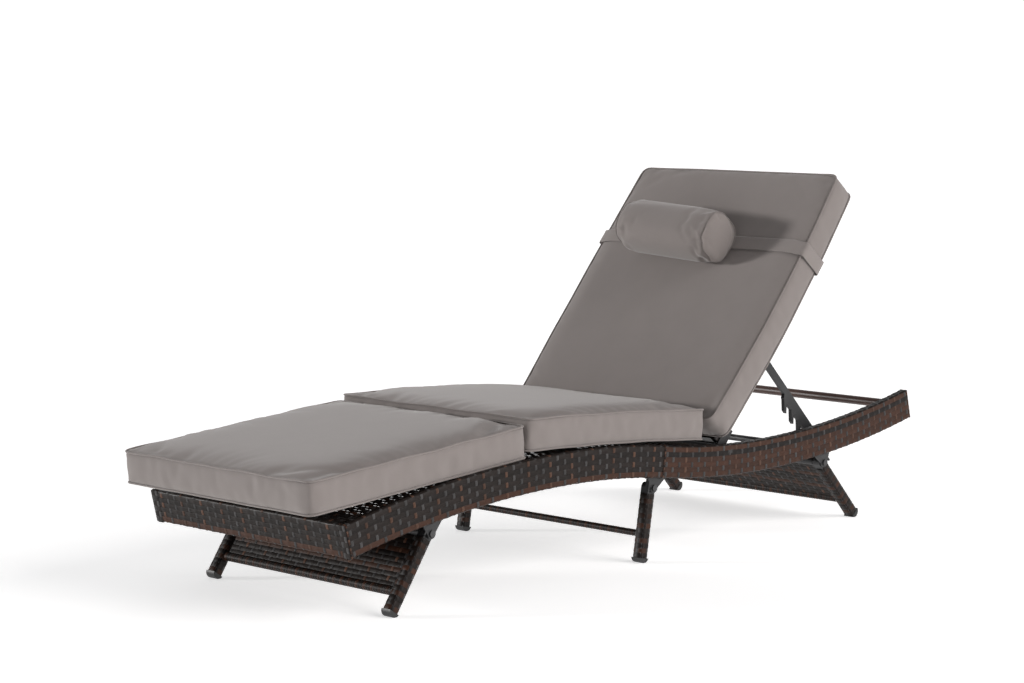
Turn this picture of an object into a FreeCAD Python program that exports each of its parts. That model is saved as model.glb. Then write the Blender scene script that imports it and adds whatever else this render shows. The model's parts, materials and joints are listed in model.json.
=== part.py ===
import FreeCAD, Part
import math
import os
from FreeCAD import Placement, Rotation, Vector

os.makedirs("parts", exist_ok=True)
doc = FreeCAD.newDocument("SunLounger")

# Frame: +X towards the head end, +Z up, origin on the floor under the middle. Millimetres and degrees.
SIZES = {
    # side rails: a crest under the knees and a valley under the backrest, joined by tangent arcs
    "frame_width": 680, "rail_height": 78, "rail_thickness": 24, "wicker_wall": 3, "tube_wall": 1.5,
    "crest_x": -281, "crest_z": 267, "valley_x": 429, "valley_z": 215.5,
    "foot_end_x": -960.5, "head_end_x": 1049, "foot_arc_radius": 3056, "head_arc_radius": 2935,
    "rail_tube_height": 22, "sleeve_seam_x": 59, "deck_end_x": 249, "deck_thickness": 6,
    "deck_tube": 20, "deck_tube_wall": 1.5, "apron_thickness": 30,
    "head_bar_x": 989, "head_bar_z": 286, "head_bar_radius": 11.5,
    "catch_bar_x": 702, "catch_bar_z": 198, "catch_bar_radius": 8.5,
    # folding legs
    "leg_depth": 31, "leg_breadth": 29, "leg_plane_y": 308, "hinge_drop": 26, "cap_length": 12,
    "foot_flat_depth": 0.6, "curve_relief": 0.35,
    "front_hinge_x": -710, "front_foot_x": -810, "front_bar_at": 148,
    "mid_hinge_x": 47, "mid_foot_x": 8, "mid_bar_at": 114,
    "rear_hinge_x": 697, "rear_foot_x": 837, "rear_bar_at": 150,
    "leg_bar_radius": 8, "hinge_tube_radius": 11, "leg_panel_thickness": 8,
    "pin_radius": 4, "pin_clearance": 0.05, "plate": 4, "gap": 0.4, "tube_sheet": 2,
    "bracket_top": 62, "bracket_eye": 12, "stop_rise": 20, "stop_drop": 12, "bolt_head": 4,
    # backrest
    "back_pivot_x": 309, "back_pivot_z": 243, "back_angle": 49.1,
    "back_start": 12, "back_end": 716, "back_width": 600, "back_rear": -2, "back_depth": 28,
    "back_tube": 20, "prop_at": 292, "prop_behind": 18,
    "hinge_plate_rise": 62, "hinge_plate_width": 28, "hinge_washer_radius": 11, "hinge_cover": 16,
    # prop
    "prop_angle": 46.5, "prop_length": 330, "prop_half": 9, "prop_breadth": 10, "prop_plane_y": 272,
    "rack_depth": 19, "rack_lead": 14, "tooth_first": 147, "tooth_pitch": 42.5, "tooth_reach": 20,
    "tooth_width": 11, "tooth_count": 5, "prop_rod_at": 42, "prop_rod_radius": 7,
    "prop_lug_radius": 12, "pin_head": 3,
    # soft parts
    "cushion_width": 660, "back_cushion_width": 680, "cushion_thickness": 75, "cushion_round": 12,
    "foot_cushion_x": -1052.5, "foot_cushion_length": 654, "foot_cushion_tilt": 4.25,
    "cushion_gap": 2, "seat_cushion_length": 628, "seat_cushion_tilt": -4, "cushion_lift": 0.5,
    "back_cushion_start": 9, "back_cushion_length": 780, "back_cushion_rear": 29.5,
    "back_cushion_thickness": 78,
    "pillow_at": 530, "pillow_y": 30, "pillow_length": 320, "pillow_radius": 68, "pillow_round": 20,
    "strap_at": 549, "strap_width": 40, "strap_thickness": 1.5,
}
sheet = doc.addObject("Spreadsheet::Sheet", "sizes")
for row, (alias, value) in enumerate(SIZES.items(), start=1):
    sheet.set(f"A{row}", alias)
    sheet.set(f"B{row}", str(value))
    sheet.setAlias(f"B{row}", alias)
doc.recompute()

NODES = []
Y_AXIS = Vector(0, 1, 0)


def size(alias):
    return float(sheet.get(alias))


def turned(x, z, degrees, y=0):
    """A frame at (x, y, z) whose X axis dips by the given angle from +X towards -Z."""
    return Placement(Vector(x, y, z), Rotation(Y_AXIS, degrees))


def at(x, y, z):
    return Placement(Vector(x, y, z), Rotation())


def primitive(kind, name, placement, **bound):
    """A Part primitive; each size is a spreadsheet expression, with s standing for the sheet."""
    item = doc.addObject(f"Part::{kind}", name)
    for key, expression in bound.items():
        item.setExpression(key, expression.replace("s.", "sizes."))
    item.Placement = placement
    return item


def block(name, frame, corner, length, width, height):
    return primitive("Box", name, frame * at(*corner), Length=length, Width=width, Height=height)


def rod(name, frame, x, y, z, radius, length):
    """A cylinder along +Y that starts at (x, y, z) of the given frame."""
    along_y = Placement(Vector(x, y, z), Rotation(Vector(1, 0, 0), -90))
    return primitive("Cylinder", name, frame * along_y, Radius=radius, Height=length)


def fuse(name, *items):
    item = doc.addObject("Part::MultiFuse", name)
    item.Shapes = list(items)
    return item


def cut(name, base, *tools):
    for number, tool in enumerate(tools):
        item = doc.addObject("Part::Cut", f"{name}_{number}")
        item.Base = base
        item.Tool = tool
        base = item
    return base


def mirrored(name, item):
    """The same piece on the other side of the XZ plane."""
    copy = doc.addObject("Part::Mirroring", name)
    copy.Source = item
    copy.Normal = Y_AXIS
    return copy


def node(label, item):
    item.Label = label
    NODES.append(item)
    return item


def sides(label, item):
    """A left piece and a right piece, as two nodes."""
    node(f"left_{label}", item)
    node(f"right_{label}", mirrored(f"right_{label}", item))


def both(label, item):
    """A left and a right piece that share one node, as separate solids."""
    group = doc.addObject("Part::Compound", f"{label}_pair")
    group.Links = [item, mirrored(f"{label}_mirror", item)]
    node(label, group)


def coded(name, shape):
    item = doc.addObject("Part::Feature", name)
    item.Shape = shape
    return item


# ---------------------------------------------------------------- rail curve
CREST = Vector(size("crest_x"), 0, size("crest_z"))
VALLEY = Vector(size("valley_x"), 0, size("valley_z"))
DROP = CREST.z - VALLEY.z
WAVE_RADIUS = ((VALLEY.x - CREST.x) ** 2 + DROP ** 2) / (4 * DROP)
WAVE_ANGLE = math.asin((VALLEY.x - CREST.x) / (2 * WAVE_RADIUS))
MIDDLE_X = (CREST.x + VALLEY.x) / 2
# each arc of the rail: centre, radius, +1 where it bulges upwards, x range
ARCS = (
    (Vector(CREST.x, 0, CREST.z - size("foot_arc_radius")), size("foot_arc_radius"), 1, CREST.x),
    (Vector(CREST.x, 0, CREST.z - WAVE_RADIUS), WAVE_RADIUS, 1, MIDDLE_X),
    (Vector(VALLEY.x, 0, VALLEY.z + WAVE_RADIUS), WAVE_RADIUS, -1, VALLEY.x),
    (Vector(VALLEY.x, 0, VALLEY.z + size("head_arc_radius")), size("head_arc_radius"), -1, math.inf),
)


def arc_at(x):
    return next(arc for arc in ARCS if x <= arc[3])


def rail_point(x, offset, arc=None):
    """The point at height offset above the rail's centre line, square to it, where that line is at x."""
    centre, radius, bulge, _ = arc or arc_at(x)
    reach = (x - centre.x) / radius
    rise = math.sqrt(1 - reach ** 2)
    far = radius + bulge * offset
    return Vector(centre.x + far * reach, 0, centre.z + bulge * far * rise)


def rail_slope(x):
    """The angle, in degrees, by which the rail dips towards +X."""
    centre, radius, bulge, _ = arc_at(x)
    return bulge * math.degrees(math.asin((x - centre.x) / radius))


def rail_edge(start, end, offset):
    """The arcs of one edge of the rail between two places along it."""
    edges = []
    left = start
    for arc in ARCS:
        right = min(end, arc[3])
        if right > left:
            places = (left, (left + right) / 2, right)
            edges.append(Part.Arc(*(rail_point(x, offset, arc) for x in places)).toShape())
            left = right
    return edges


def rail_strip(start, end, low, high, y_start, y_end):
    """A solid that follows the rail's curve, between two heights about its centre line."""
    ends = [Part.makeLine(rail_point(x, low), rail_point(x, high)) for x in (start, end)]
    wire = Part.Wire(Part.__sortEdges__(rail_edge(start, end, low) + rail_edge(start, end, high) + ends))
    face = Part.Face(wire)
    face.translate(Vector(0, y_start, 0))
    return face.extrude(Vector(0, y_end - y_start, 0))


def y_rod(x, z, radius, y_start, y_end):
    return Part.makeCylinder(radius, y_end - y_start, Vector(x, y_start, z), Y_AXIS)


HALF_WIDTH = size("frame_width") / 2
INNER_Y = HALF_WIDTH - size("rail_thickness")
HALF_HEIGHT = size("rail_height") / 2
WALL = size("wicker_wall")
FOOT_END = size("foot_end_x")
HEAD_END = size("head_end_x")
APRON = size("apron_thickness")
PIVOT_X = size("back_pivot_x")
PIVOT_Z = size("back_pivot_z")
PIN = size("pin_radius")
PIN_BORE = PIN + size("pin_clearance")
PLATE = size("plate")
GAP = size("gap")
COVER = size("hinge_cover")
SHEET = size("tube_sheet")


# ---------------------------------------------------------------- side rails
def rail_wicker(start, end, closed_start, closed_end, bored):
    """The woven sleeve of one stretch of the left rail, hollow where the steel tubes run."""
    outer = rail_strip(start, end, -HALF_HEIGHT, HALF_HEIGHT, INNER_Y, HALF_WIDTH)
    inner_start = start + WALL if closed_start else start
    inner_end = end - WALL if closed_end else end
    hollow = rail_strip(inner_start, inner_end, WALL - HALF_HEIGHT, HALF_HEIGHT - WALL,
                        INNER_Y + WALL, HALF_WIDTH - WALL)
    sleeve = outer.cut(hollow)
    if bored:
        sleeve = sleeve.cut(y_rod(PIVOT_X, PIVOT_Z, PIN_BORE, INNER_Y - 1, INNER_Y + WALL + 1))
        window = Part.makeBox(COVER, WALL + 2, COVER, Vector(PIVOT_X - COVER / 2, HALF_WIDTH - WALL - 1,
                                                             PIVOT_Z - COVER / 2))
        sleeve = sleeve.cut(window)
    return sleeve


def rail_tubes():
    """The two curved steel tubes of the left rail and the struts that tie them, as one welded piece."""
    low_y = INNER_Y + WALL
    high_y = HALF_WIDTH - WALL
    wall = size("tube_wall")
    height = size("rail_tube_height")
    start = FOOT_END + WALL
    end = HEAD_END - WALL
    top = HALF_HEIGHT - WALL
    tubes = []
    for low, high in ((top - height, top), (-top, height - top)):
        outer = rail_strip(start, end, low, high, low_y, high_y)
        inner = rail_strip(start, end, low + wall, high - wall, low_y + wall, high_y - wall)
        tubes.append(outer.cut(inner))
    strut_count = 9
    strut = height / 2
    for number in range(strut_count):
        x = start + strut + (end - start - 2 * strut) * number / (strut_count - 1)
        tubes.append(rail_strip(x - strut / 2, x + strut / 2, height - top, top - height,
                                low_y + strut, high_y - strut))
    ladder = tubes[0].fuse(tubes[1:])
    return ladder.cut(y_rod(PIVOT_X, PIVOT_Z, PIN_BORE, low_y - 1, high_y + 1)).removeSplitter()


sides("rail_tubes", coded("rail_tubes", rail_tubes()))
sides("front_rail_wicker", coded("front_rail_wicker", rail_wicker(
    FOOT_END, size("sleeve_seam_x"), True, False, False)))
sides("rear_rail_wicker", coded("rear_rail_wicker", rail_wicker(
    size("sleeve_seam_x"), HEAD_END, False, True, True)))

# ---------------------------------------------------------------- deck between the rails
deck_top = HALF_HEIGHT - 1
deck_low = deck_top - size("deck_thickness")
node("seat_deck_wicker", coded("seat_deck_wicker", rail_strip(
    FOOT_END + APRON, size("deck_end_x"), deck_low, deck_top, -INNER_Y, INNER_Y)))


def apron_wicker():
    """The woven panel across the foot end, hollow around its two tubes."""
    outer = rail_strip(FOOT_END, FOOT_END + APRON, -HALF_HEIGHT, HALF_HEIGHT, -INNER_Y, INNER_Y)
    hollow = rail_strip(FOOT_END + WALL, FOOT_END + APRON - WALL, WALL - HALF_HEIGHT, HALF_HEIGHT - WALL,
                        WALL - INNER_Y, INNER_Y - WALL)
    return outer.cut(hollow)


node("foot_apron_wicker", coded("foot_apron_wicker", apron_wicker()))

tube = size("deck_tube")
apron_tube_y = INNER_Y - WALL
apron_tubes = []
for height in (WALL - HALF_HEIGHT, HALF_HEIGHT - WALL - tube):
    corner = rail_point(FOOT_END + APRON / 2, height)
    slope = turned(corner.x, corner.z, rail_slope(FOOT_END + APRON / 2))
    outer = block("apron_tube", slope, (-tube / 2, -apron_tube_y, GAP), "s.deck_tube",
                  "s.frame_width - 2 * (s.rail_thickness + s.wicker_wall)", "s.deck_tube - 2 * s.gap")
    apron_tubes.append(outer)
apron_pair = doc.addObject("Part::Compound", "apron_tube_pair")
apron_pair.Links = apron_tubes
node("foot_apron_tubes", apron_pair)


def deck_tube(label, x):
    """A square steel tube across the frame, just under the woven deck."""
    top = rail_point(x, deck_low - size("curve_relief"))
    frame = turned(top.x, top.z, rail_slope(x))
    outer = block(f"{label}_outer", frame, (-tube / 2, -INNER_Y, -tube),
                  "s.deck_tube", "s.frame_width - 2 * s.rail_thickness", "s.deck_tube")
    wall = size("deck_tube_wall")
    inner = block(f"{label}_inner", frame, (wall - tube / 2, -INNER_Y, wall - tube),
                  "s.deck_tube - 2 * s.deck_tube_wall", "s.frame_width - 2 * s.rail_thickness",
                  "s.deck_tube - 2 * s.deck_tube_wall")
    node(label, cut(label, outer, inner))


deck_tube("knee_cross_tube", CREST.x - 300)
deck_tube("seat_cross_tube", CREST.x + 100)
deck_tube("hip_cross_tube", size("deck_end_x") - tube)

WORLD = at(0, 0, 0)
INSIDE_WIDTH = "s.frame_width - 2 * s.rail_thickness"
node("catch_crossbar", rod("catch_crossbar", WORLD, size("catch_bar_x"), -INNER_Y, size("catch_bar_z"),
                           "s.catch_bar_radius", INSIDE_WIDTH))
node("head_crossbar", rod("head_crossbar", WORLD, size("head_bar_x"), -INNER_Y, size("head_bar_z"),
                          "s.head_bar_radius", INSIDE_WIDTH))

# ---------------------------------------------------------------- folding legs
LEG_INNER_Y = size("leg_plane_y") - size("leg_breadth") / 2
LEG_OUTER_Y = size("leg_plane_y") + size("leg_breadth") / 2
LEG_HALF = size("leg_depth") / 2
CHEEK_Y = LEG_OUTER_Y + GAP
BOLT_HEAD = size("bolt_head")


def leg_bracket(name, hinge, leg_frame, slope, outward):
    """The bracket under the left rail: a base, a cheek outside the leg and the stop that it opens onto."""
    drop = size("hinge_drop")
    top_width = size("bracket_top")
    eye = size("bracket_eye")
    level = turned(hinge.x, hinge.z, slope)
    ceiling = drop - size("curve_relief")
    outer_end = LEG_HALF + 2 * PLATE
    ends = sorted((outward * outer_end, outward * (outer_end - top_width)))
    base = block(f"{name}_base", level, (ends[0], INNER_Y, ceiling - PLATE), "s.bracket_top",
                 f"{CHEEK_Y - INNER_Y} + s.plate", "s.plate")
    corners = [(ends[0], ceiling), (ends[1], ceiling), (eye, 0), (-eye, 0)]
    wire = Part.makePolygon([Vector(x, CHEEK_Y, z) for x, z in corners + corners[:1]])
    cheek = coded(f"{name}_cheek", Part.Face(wire).extrude(Vector(0, PLATE, 0)))
    cheek.Placement = level
    eye_disc = rod(f"{name}_eye", level, 0, CHEEK_Y, 0, "s.bracket_eye", "s.plate")
    face = LEG_HALF + GAP if outward > 0 else -LEG_HALF - GAP - PLATE
    stop = block(f"{name}_stop", leg_frame, (-size("stop_rise"), INNER_Y, face), "s.stop_rise + s.stop_drop",
                 f"{CHEEK_Y - INNER_Y} + s.plate", "s.plate")
    rail_room = block(f"{name}_rail_room", level, (-top_width, INNER_Y - 1, ceiling), "2 * s.bracket_top",
                      "s.rail_thickness", "s.stop_rise")
    bore = rod(f"{name}_bore", level, 0, CHEEK_Y - 1, 0, "s.pin_radius", "s.plate + 2")
    return cut(name, fuse(f"{name}_body", base, cheek, eye_disc, stop), rail_room, bore)


def leg_set(name, outward):
    """One pair of legs that swings about a cross axis under the rails."""
    rail_x = size(f"{name}_hinge_x")
    under = rail_point(rail_x, -HALF_HEIGHT - size("hinge_drop"))
    foot = Vector(size(f"{name}_foot_x"), 0, LEG_HALF - size("foot_flat_depth"))
    along = foot - under
    dip = math.degrees(math.atan2(-along.z, along.x))
    frame = turned(under.x, under.z, dip)
    length = along.Length
    breadth = "s.leg_breadth"

    steel_end = length - size("cap_length") + LEG_HALF
    tube_half = LEG_HALF - WALL
    tube_y = LEG_INNER_Y + WALL
    tube_breadth = "s.leg_breadth - 2 * s.wicker_wall"
    shank = block(f"{name}_shank", frame, (0, tube_y, -tube_half), str(steel_end), tube_breadth,
                  "s.leg_depth - 2 * s.wicker_wall")
    top = rod(f"{name}_top", frame, 0, tube_y, 0, "s.leg_depth / 2 - s.wicker_wall", tube_breadth)
    hollow = block(f"{name}_hollow", frame, (tube_half, tube_y + SHEET, SHEET - tube_half), str(steel_end),
                   "s.leg_breadth - 2 * s.wicker_wall - 2 * s.tube_sheet",
                   "s.leg_depth - 2 * s.wicker_wall - 2 * s.tube_sheet")
    bore = rod(f"{name}_bore", frame, 0, tube_y - 1, 0, "s.pin_radius + s.pin_clearance", "s.leg_breadth")
    sides(f"{name}_leg_tube", cut(f"{name}_tube", fuse(f"{name}_steel", shank, top), hollow, bore))

    sleeve_start = LEG_HALF
    outer = block(f"{name}_wrap", frame, (sleeve_start, LEG_INNER_Y, -LEG_HALF),
                  str(steel_end - sleeve_start), breadth, "s.leg_depth")
    inner = block(f"{name}_wrap_hollow", frame, (sleeve_start - 1, tube_y, -tube_half),
                  str(steel_end), tube_breadth, "s.leg_depth - 2 * s.wicker_wall")
    sides(f"{name}_leg_wicker", cut(f"{name}_sleeve", outer, inner))

    cap_round = rod(f"{name}_cap_round", frame, length, LEG_INNER_Y, 0, "s.leg_depth / 2", breadth)
    above = block(f"{name}_shank_room", frame, (0, LEG_INNER_Y, -LEG_HALF), str(steel_end), breadth,
                  "s.leg_depth")
    below = block(f"{name}_floor", WORLD, (foot.x - LEG_HALF, LEG_INNER_Y - 1, -LEG_HALF),
                  "s.leg_depth", "s.leg_breadth + 2", "s.leg_depth / 2")
    both(f"{name}_foot_caps", cut(f"{name}_cap_flat", cap_round, above, below))

    bar_at = size(f"{name}_bar_at")
    span = "2 * s.leg_plane_y - s.leg_breadth"
    bar = rod(f"{name}_leg_bar", frame, bar_at, -LEG_INNER_Y, 0, "s.leg_bar_radius", span)
    node(f"{name}_leg_crossbar", bar)
    if name != "mid":
        hinge_tube = rod(f"{name}_hinge_tube", frame, 0, -LEG_INNER_Y, 0, "s.hinge_tube_radius", span)
        node(f"{name}_leg_hinge_tube", hinge_tube)
        start = size("hinge_tube_radius")
        panel = block(f"{name}_panel", frame, (start, -LEG_INNER_Y, -size("leg_panel_thickness") / 2),
                      f"s.{name}_bar_at - s.leg_bar_radius - s.hinge_tube_radius", span,
                      "s.leg_panel_thickness")
        node(f"{name}_leg_panel", panel)

    slope = rail_slope(rail_x)
    both(f"{name}_leg_brackets", leg_bracket(f"{name}_bracket", under, frame, slope, outward))
    pin = rod(f"{name}_pin", frame, 0, LEG_INNER_Y + PLATE, 0, "s.pin_radius",
              f"{CHEEK_Y - LEG_INNER_Y}")
    head = rod(f"{name}_pin_head", frame, 0, CHEEK_Y + PLATE, 0, "2 * s.pin_radius", "s.bolt_head")
    neck = rod(f"{name}_pin_neck", frame, 0, CHEEK_Y, 0, "s.pin_radius", "s.plate")
    return fuse(f"{name}_bolt", pin, neck, head)


bolts = [leg_set("front", -1), leg_set("mid", -1), leg_set("rear", 1)]
bolt_group = doc.addObject("Part::Compound", "leg_bolt_group")
bolt_group.Links = bolts + [mirrored(f"leg_bolt_mirror_{number}", bolt) for number, bolt in enumerate(bolts)]
node("leg_hinge_bolts", bolt_group)

# ---------------------------------------------------------------- backrest, lying along +X in its own frame
BACK = turned(PIVOT_X, PIVOT_Z, -size("back_angle"))
BACK_HALF = size("back_width") / 2
BACK_START = size("back_start")
BACK_END = size("back_end")
BACK_REAR = size("back_rear")
BACK_TUBE = size("back_tube")

back_outer = block("back_outer", BACK, (BACK_START, -BACK_HALF, BACK_REAR),
                   "s.back_end - s.back_start", "s.back_width", "s.back_depth")
back_hollow = block("back_hollow", BACK, (BACK_START + WALL, WALL - BACK_HALF, BACK_REAR + WALL),
                    "s.back_end - s.back_start - 2 * s.wicker_wall", "s.back_width - 2 * s.wicker_wall",
                    "s.back_depth - 2 * s.wicker_wall")
node("back_wicker", cut("back_wicker", back_outer, back_hollow))

TUBE_HEIGHT = "s.back_depth - 2 * s.wicker_wall"
side_outer = block("back_side", BACK, (BACK_START + WALL, BACK_HALF - WALL - BACK_TUBE, BACK_REAR + WALL),
                   "s.back_end - s.back_start - 2 * s.wicker_wall", "s.back_tube", TUBE_HEIGHT)
side_inner = block("back_side_hollow", BACK,
                   (BACK_START, BACK_HALF - WALL - BACK_TUBE + SHEET, BACK_REAR + WALL + SHEET),
                   "s.back_end", "s.back_tube - 2 * s.tube_sheet", f"{TUBE_HEIGHT} - 2 * s.tube_sheet")
sides("back_side_tube", cut("back_side_tube", side_outer, side_inner))
CROSS_TUBES = (("back_bottom_tube", BACK_START + WALL), ("back_middle_tube", size("prop_at") - BACK_TUBE / 2),
               ("back_top_tube", BACK_END - WALL - BACK_TUBE))
for label, start in CROSS_TUBES:
    reach = BACK_HALF - WALL - BACK_TUBE
    across = block(f"{label}_outer", BACK, (start, -reach, BACK_REAR + WALL), "s.back_tube",
                   "s.back_width - 2 * (s.wicker_wall + s.back_tube)", TUBE_HEIGHT)
    empty = block(f"{label}_hollow", BACK, (start + SHEET, -reach, BACK_REAR + WALL + SHEET),
                  "s.back_tube - 2 * s.tube_sheet", "s.back_width - 2 * (s.wicker_wall + s.back_tube)",
                  f"{TUBE_HEIGHT} - 2 * s.tube_sheet")
    node(label, cut(label, across, empty))

hinge_flat = block("hinge_plate_flat", BACK, (0, BACK_HALF, -size("hinge_plate_width") / 2),
                   "s.hinge_plate_rise", "s.plate", "s.hinge_plate_width")
hinge_eye = rod("hinge_plate_eye", BACK, 0, BACK_HALF, 0, "s.hinge_plate_width / 2", "s.plate")
hinge_plate = fuse("hinge_plate_body", hinge_flat, hinge_eye)
hinge_bore = rod("hinge_plate_bore", BACK, 0, BACK_HALF - 1, 0, "s.pin_radius + s.pin_clearance",
                 "s.plate + 2")
both("back_hinge_plates", cut("hinge_plate", hinge_plate, hinge_bore))

washer_y = BACK_HALF + PLATE + GAP
washer = rod("hinge_washer_disc", BACK, 0, washer_y, 0, "s.hinge_washer_radius", f"{INNER_Y - washer_y}")
washer_bore = rod("hinge_washer_bore", BACK, 0, washer_y - 1, 0, "s.pin_radius",
                  f"{INNER_Y - washer_y} + 2")
both("back_hinge_washers", cut("hinge_washer", washer, washer_bore))
bolt_end = HALF_WIDTH - WALL
bolt_shank = rod("hinge_bolt_shank", BACK, 0, BACK_HALF - GAP, 0, "s.pin_radius",
                 f"{bolt_end - BACK_HALF + GAP}")
bolt_head = rod("hinge_bolt_head", BACK, 0, BACK_HALF - GAP - BOLT_HEAD, 0, "2 * s.pin_radius", "s.bolt_head")
both("back_hinge_bolts", fuse("hinge_bolt", bolt_shank, bolt_head))
cover = block("hinge_cover", WORLD, (PIVOT_X - COVER / 2, bolt_end, PIVOT_Z - COVER / 2),
              "s.hinge_cover", "s.wicker_wall", "s.hinge_cover")
both("back_hinge_covers", cover)

# ---------------------------------------------------------------- prop
PROP_AT = size("prop_at")
PROP_REAR = -size("prop_behind")
PROP_Y = size("prop_plane_y")
PROP_HALF_Y = size("prop_breadth") / 2
lug_y = PROP_Y + PROP_HALF_Y + GAP
lug_half = size("prop_lug_radius")
PIN_HEAD = size("pin_head")
lug_flat = block("prop_lug_flat", BACK, (PROP_AT - lug_half, lug_y, PROP_REAR), "2 * s.prop_lug_radius",
                 "s.plate", f"{BACK_REAR - PROP_REAR}")
lug_eye = rod("prop_lug_eye", BACK, PROP_AT, lug_y, PROP_REAR, "s.prop_lug_radius", "s.plate")
lug = fuse("prop_lug_body", lug_flat, lug_eye)
lug_bore = rod("prop_lug_bore", BACK, PROP_AT, lug_y - 1, PROP_REAR, "s.pin_radius", "s.plate + 2")
both("prop_pivot_brackets", cut("prop_lug", lug, lug_bore))
pin_start = PROP_Y - PROP_HALF_Y - GAP
pin_shank = rod("prop_pin_shank", BACK, PROP_AT, pin_start, PROP_REAR, "s.pin_radius",
                f"{lug_y + PLATE - pin_start}")
pin_head = rod("prop_pin_head", BACK, PROP_AT, lug_y + PLATE, PROP_REAR, "2 * s.pin_radius", "s.pin_head")
pin_clip = rod("prop_pin_clip", BACK, PROP_AT, pin_start - PIN_HEAD, PROP_REAR, "1.5 * s.pin_radius",
               "s.pin_head")
both("prop_pivot_pins", fuse("prop_pin", pin_shank, pin_head, pin_clip))

prop_pivot = BACK.multVec(Vector(PROP_AT, 0, PROP_REAR))
PROP = turned(prop_pivot.x, prop_pivot.z, size("prop_angle"))
LEAN = size("prop_angle")


def prop_rack():
    """One arm of the prop: a flat bar, its rack and the fingers that hook over the catch bar."""
    half = size("prop_half")
    length = size("prop_length")
    first = size("tooth_first")
    depth = size("rack_depth")
    lead = size("rack_lead")
    reach = size("tooth_reach")
    width = size("tooth_width")
    upright = math.radians(90 - LEAN)
    breadth = 2 * PROP_HALF_Y

    def plate(points):
        wire = Part.makePolygon([Vector(x, 0, z) for x, z in points + points[:1]])
        return Part.Face(wire).extrude(Vector(0, breadth, 0))

    pieces = [
        plate([(0, -half), (length, -half), (length, half), (0, half)]),
        Part.makeCylinder(half, breadth, Vector(0, 0, 0), Y_AXIS),
        plate([(first - lead, 1 - half), (length, 1 - half), (length, -depth), (first - lead / 2, -depth)]),
    ]
    sink = 3
    lean_x = (reach + sink) / math.tan(upright)
    skew = width / math.sin(upright) / 2
    for number in range(int(size("tooth_count"))):
        root = first + number * size("tooth_pitch")
        tip = root + lean_x
        pieces.append(plate([(root - skew, sink - depth), (root + skew, sink - depth),
                             (tip + width / 2, -depth - reach), (tip - width / 2, -depth - reach)]))
    rack = pieces[0].fuse(pieces[1:]).removeSplitter()
    return rack.cut(Part.makeCylinder(PIN_BORE, breadth + 2, Vector(0, -1, 0), Y_AXIS))


rack = coded("prop_rack", prop_rack())
rack.Placement = PROP * at(0, PROP_Y - PROP_HALF_Y, 0)
sides("prop_rack", rack)
crossrod = rod("prop_crossrod", PROP, size("prop_rod_at"), PROP_HALF_Y - PROP_Y, 0, "s.prop_rod_radius",
               "2 * s.prop_plane_y - s.prop_breadth")
node("prop_crossrod", crossrod)


# ---------------------------------------------------------------- cushions and pillow
def cushion(label, frame, start, low, length, width, thickness):
    """A box cushion centred across the lounger, with its long edges rounded."""
    item = block(f"{label}_block", frame, (start, -size(width) / 2, low), length, f"s.{width}", thickness)
    doc.recompute()
    rounded = doc.addObject("Part::Fillet", f"{label}_rounded")
    rounded.Base = item
    rounded.Edges = [(number + 1, size("cushion_round"), size("cushion_round"))
                     for number, edge in enumerate(item.Shape.Edges)]
    node(label, rounded)


BACK_CUSHION_HALF = size("back_cushion_width") / 2
LIFT = size("cushion_lift")


def resting_frame(tilt, radius):
    """A frame on the rail's top edge where that edge has the given slope, beside the crest."""
    sway = math.radians(tilt)
    reach = radius + HALF_HEIGHT + LIFT
    return turned(CREST.x - reach * math.sin(sway), CREST.z - radius + reach * math.cos(sway), -tilt)


foot_tilt = size("foot_cushion_tilt")
foot_rest = resting_frame(foot_tilt, size("foot_arc_radius"))
foot_reach = (foot_rest.Base.x - size("foot_cushion_x")) / math.cos(math.radians(foot_tilt))
cushion("foot_cushion", foot_rest, -foot_reach, 0, "s.foot_cushion_length", "cushion_width",
        "s.cushion_thickness")

seat_rest = resting_frame(size("seat_cushion_tilt"), WAVE_RADIUS)
foot_cushion_end = size("foot_cushion_x") + size("foot_cushion_length") * math.cos(math.radians(foot_tilt))
seat_start = foot_cushion_end + size("cushion_gap")
seat_reach = (seat_rest.Base.x - seat_start) / math.cos(math.radians(size("seat_cushion_tilt")))
cushion("seat_cushion", seat_rest, -seat_reach, 0, "s.seat_cushion_length", "cushion_width",
        "s.cushion_thickness")
cushion("back_cushion", BACK, size("back_cushion_start"), size("back_cushion_rear"), "s.back_cushion_length",
        "back_cushion_width", "s.back_cushion_thickness")

back_front = size("back_cushion_rear") + size("back_cushion_thickness")
pillow_height = back_front + GAP + size("strap_thickness") + GAP + size("pillow_radius")
pillow_start = size("pillow_y") - size("pillow_length") / 2
pillow = rod("pillow_roll", BACK, size("pillow_at"), pillow_start, pillow_height, "s.pillow_radius",
             "s.pillow_length")
doc.recompute()
pillow_rounded = doc.addObject("Part::Fillet", "pillow_rounded")
pillow_rounded.Base = pillow
pillow_rounded.Edges = [(number + 1, size("pillow_round"), size("pillow_round"))
                        for number, edge in enumerate(pillow.Shape.Edges)
                        if edge.Curve.TypeId == "Part::GeomCircle"]
node("headrest_pillow", pillow_rounded)

strap_inner_half = BACK_CUSHION_HALF + GAP
strap_low = size("back_cushion_rear") - GAP
STRAP = "s.strap_thickness"
strap_outer = block("strap_outer", BACK, (size("strap_at") - size("strap_width") / 2,
                                          -strap_inner_half - size("strap_thickness"),
                                          strap_low - size("strap_thickness")),
                    "s.strap_width", f"s.back_cushion_width + 2 * s.gap + 2 * {STRAP}",
                    f"s.back_cushion_thickness + 2 * s.gap + 2 * {STRAP}")
strap_inside = block("strap_inside", BACK, (size("strap_at") - size("strap_width") / 2 - 1, -strap_inner_half,
                                            strap_low),
                     "s.strap_width + 2", "s.back_cushion_width + 2 * s.gap",
                     "s.back_cushion_thickness + 2 * s.gap")
node("pillow_strap", cut("pillow_strap", strap_outer, strap_inside))

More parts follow.
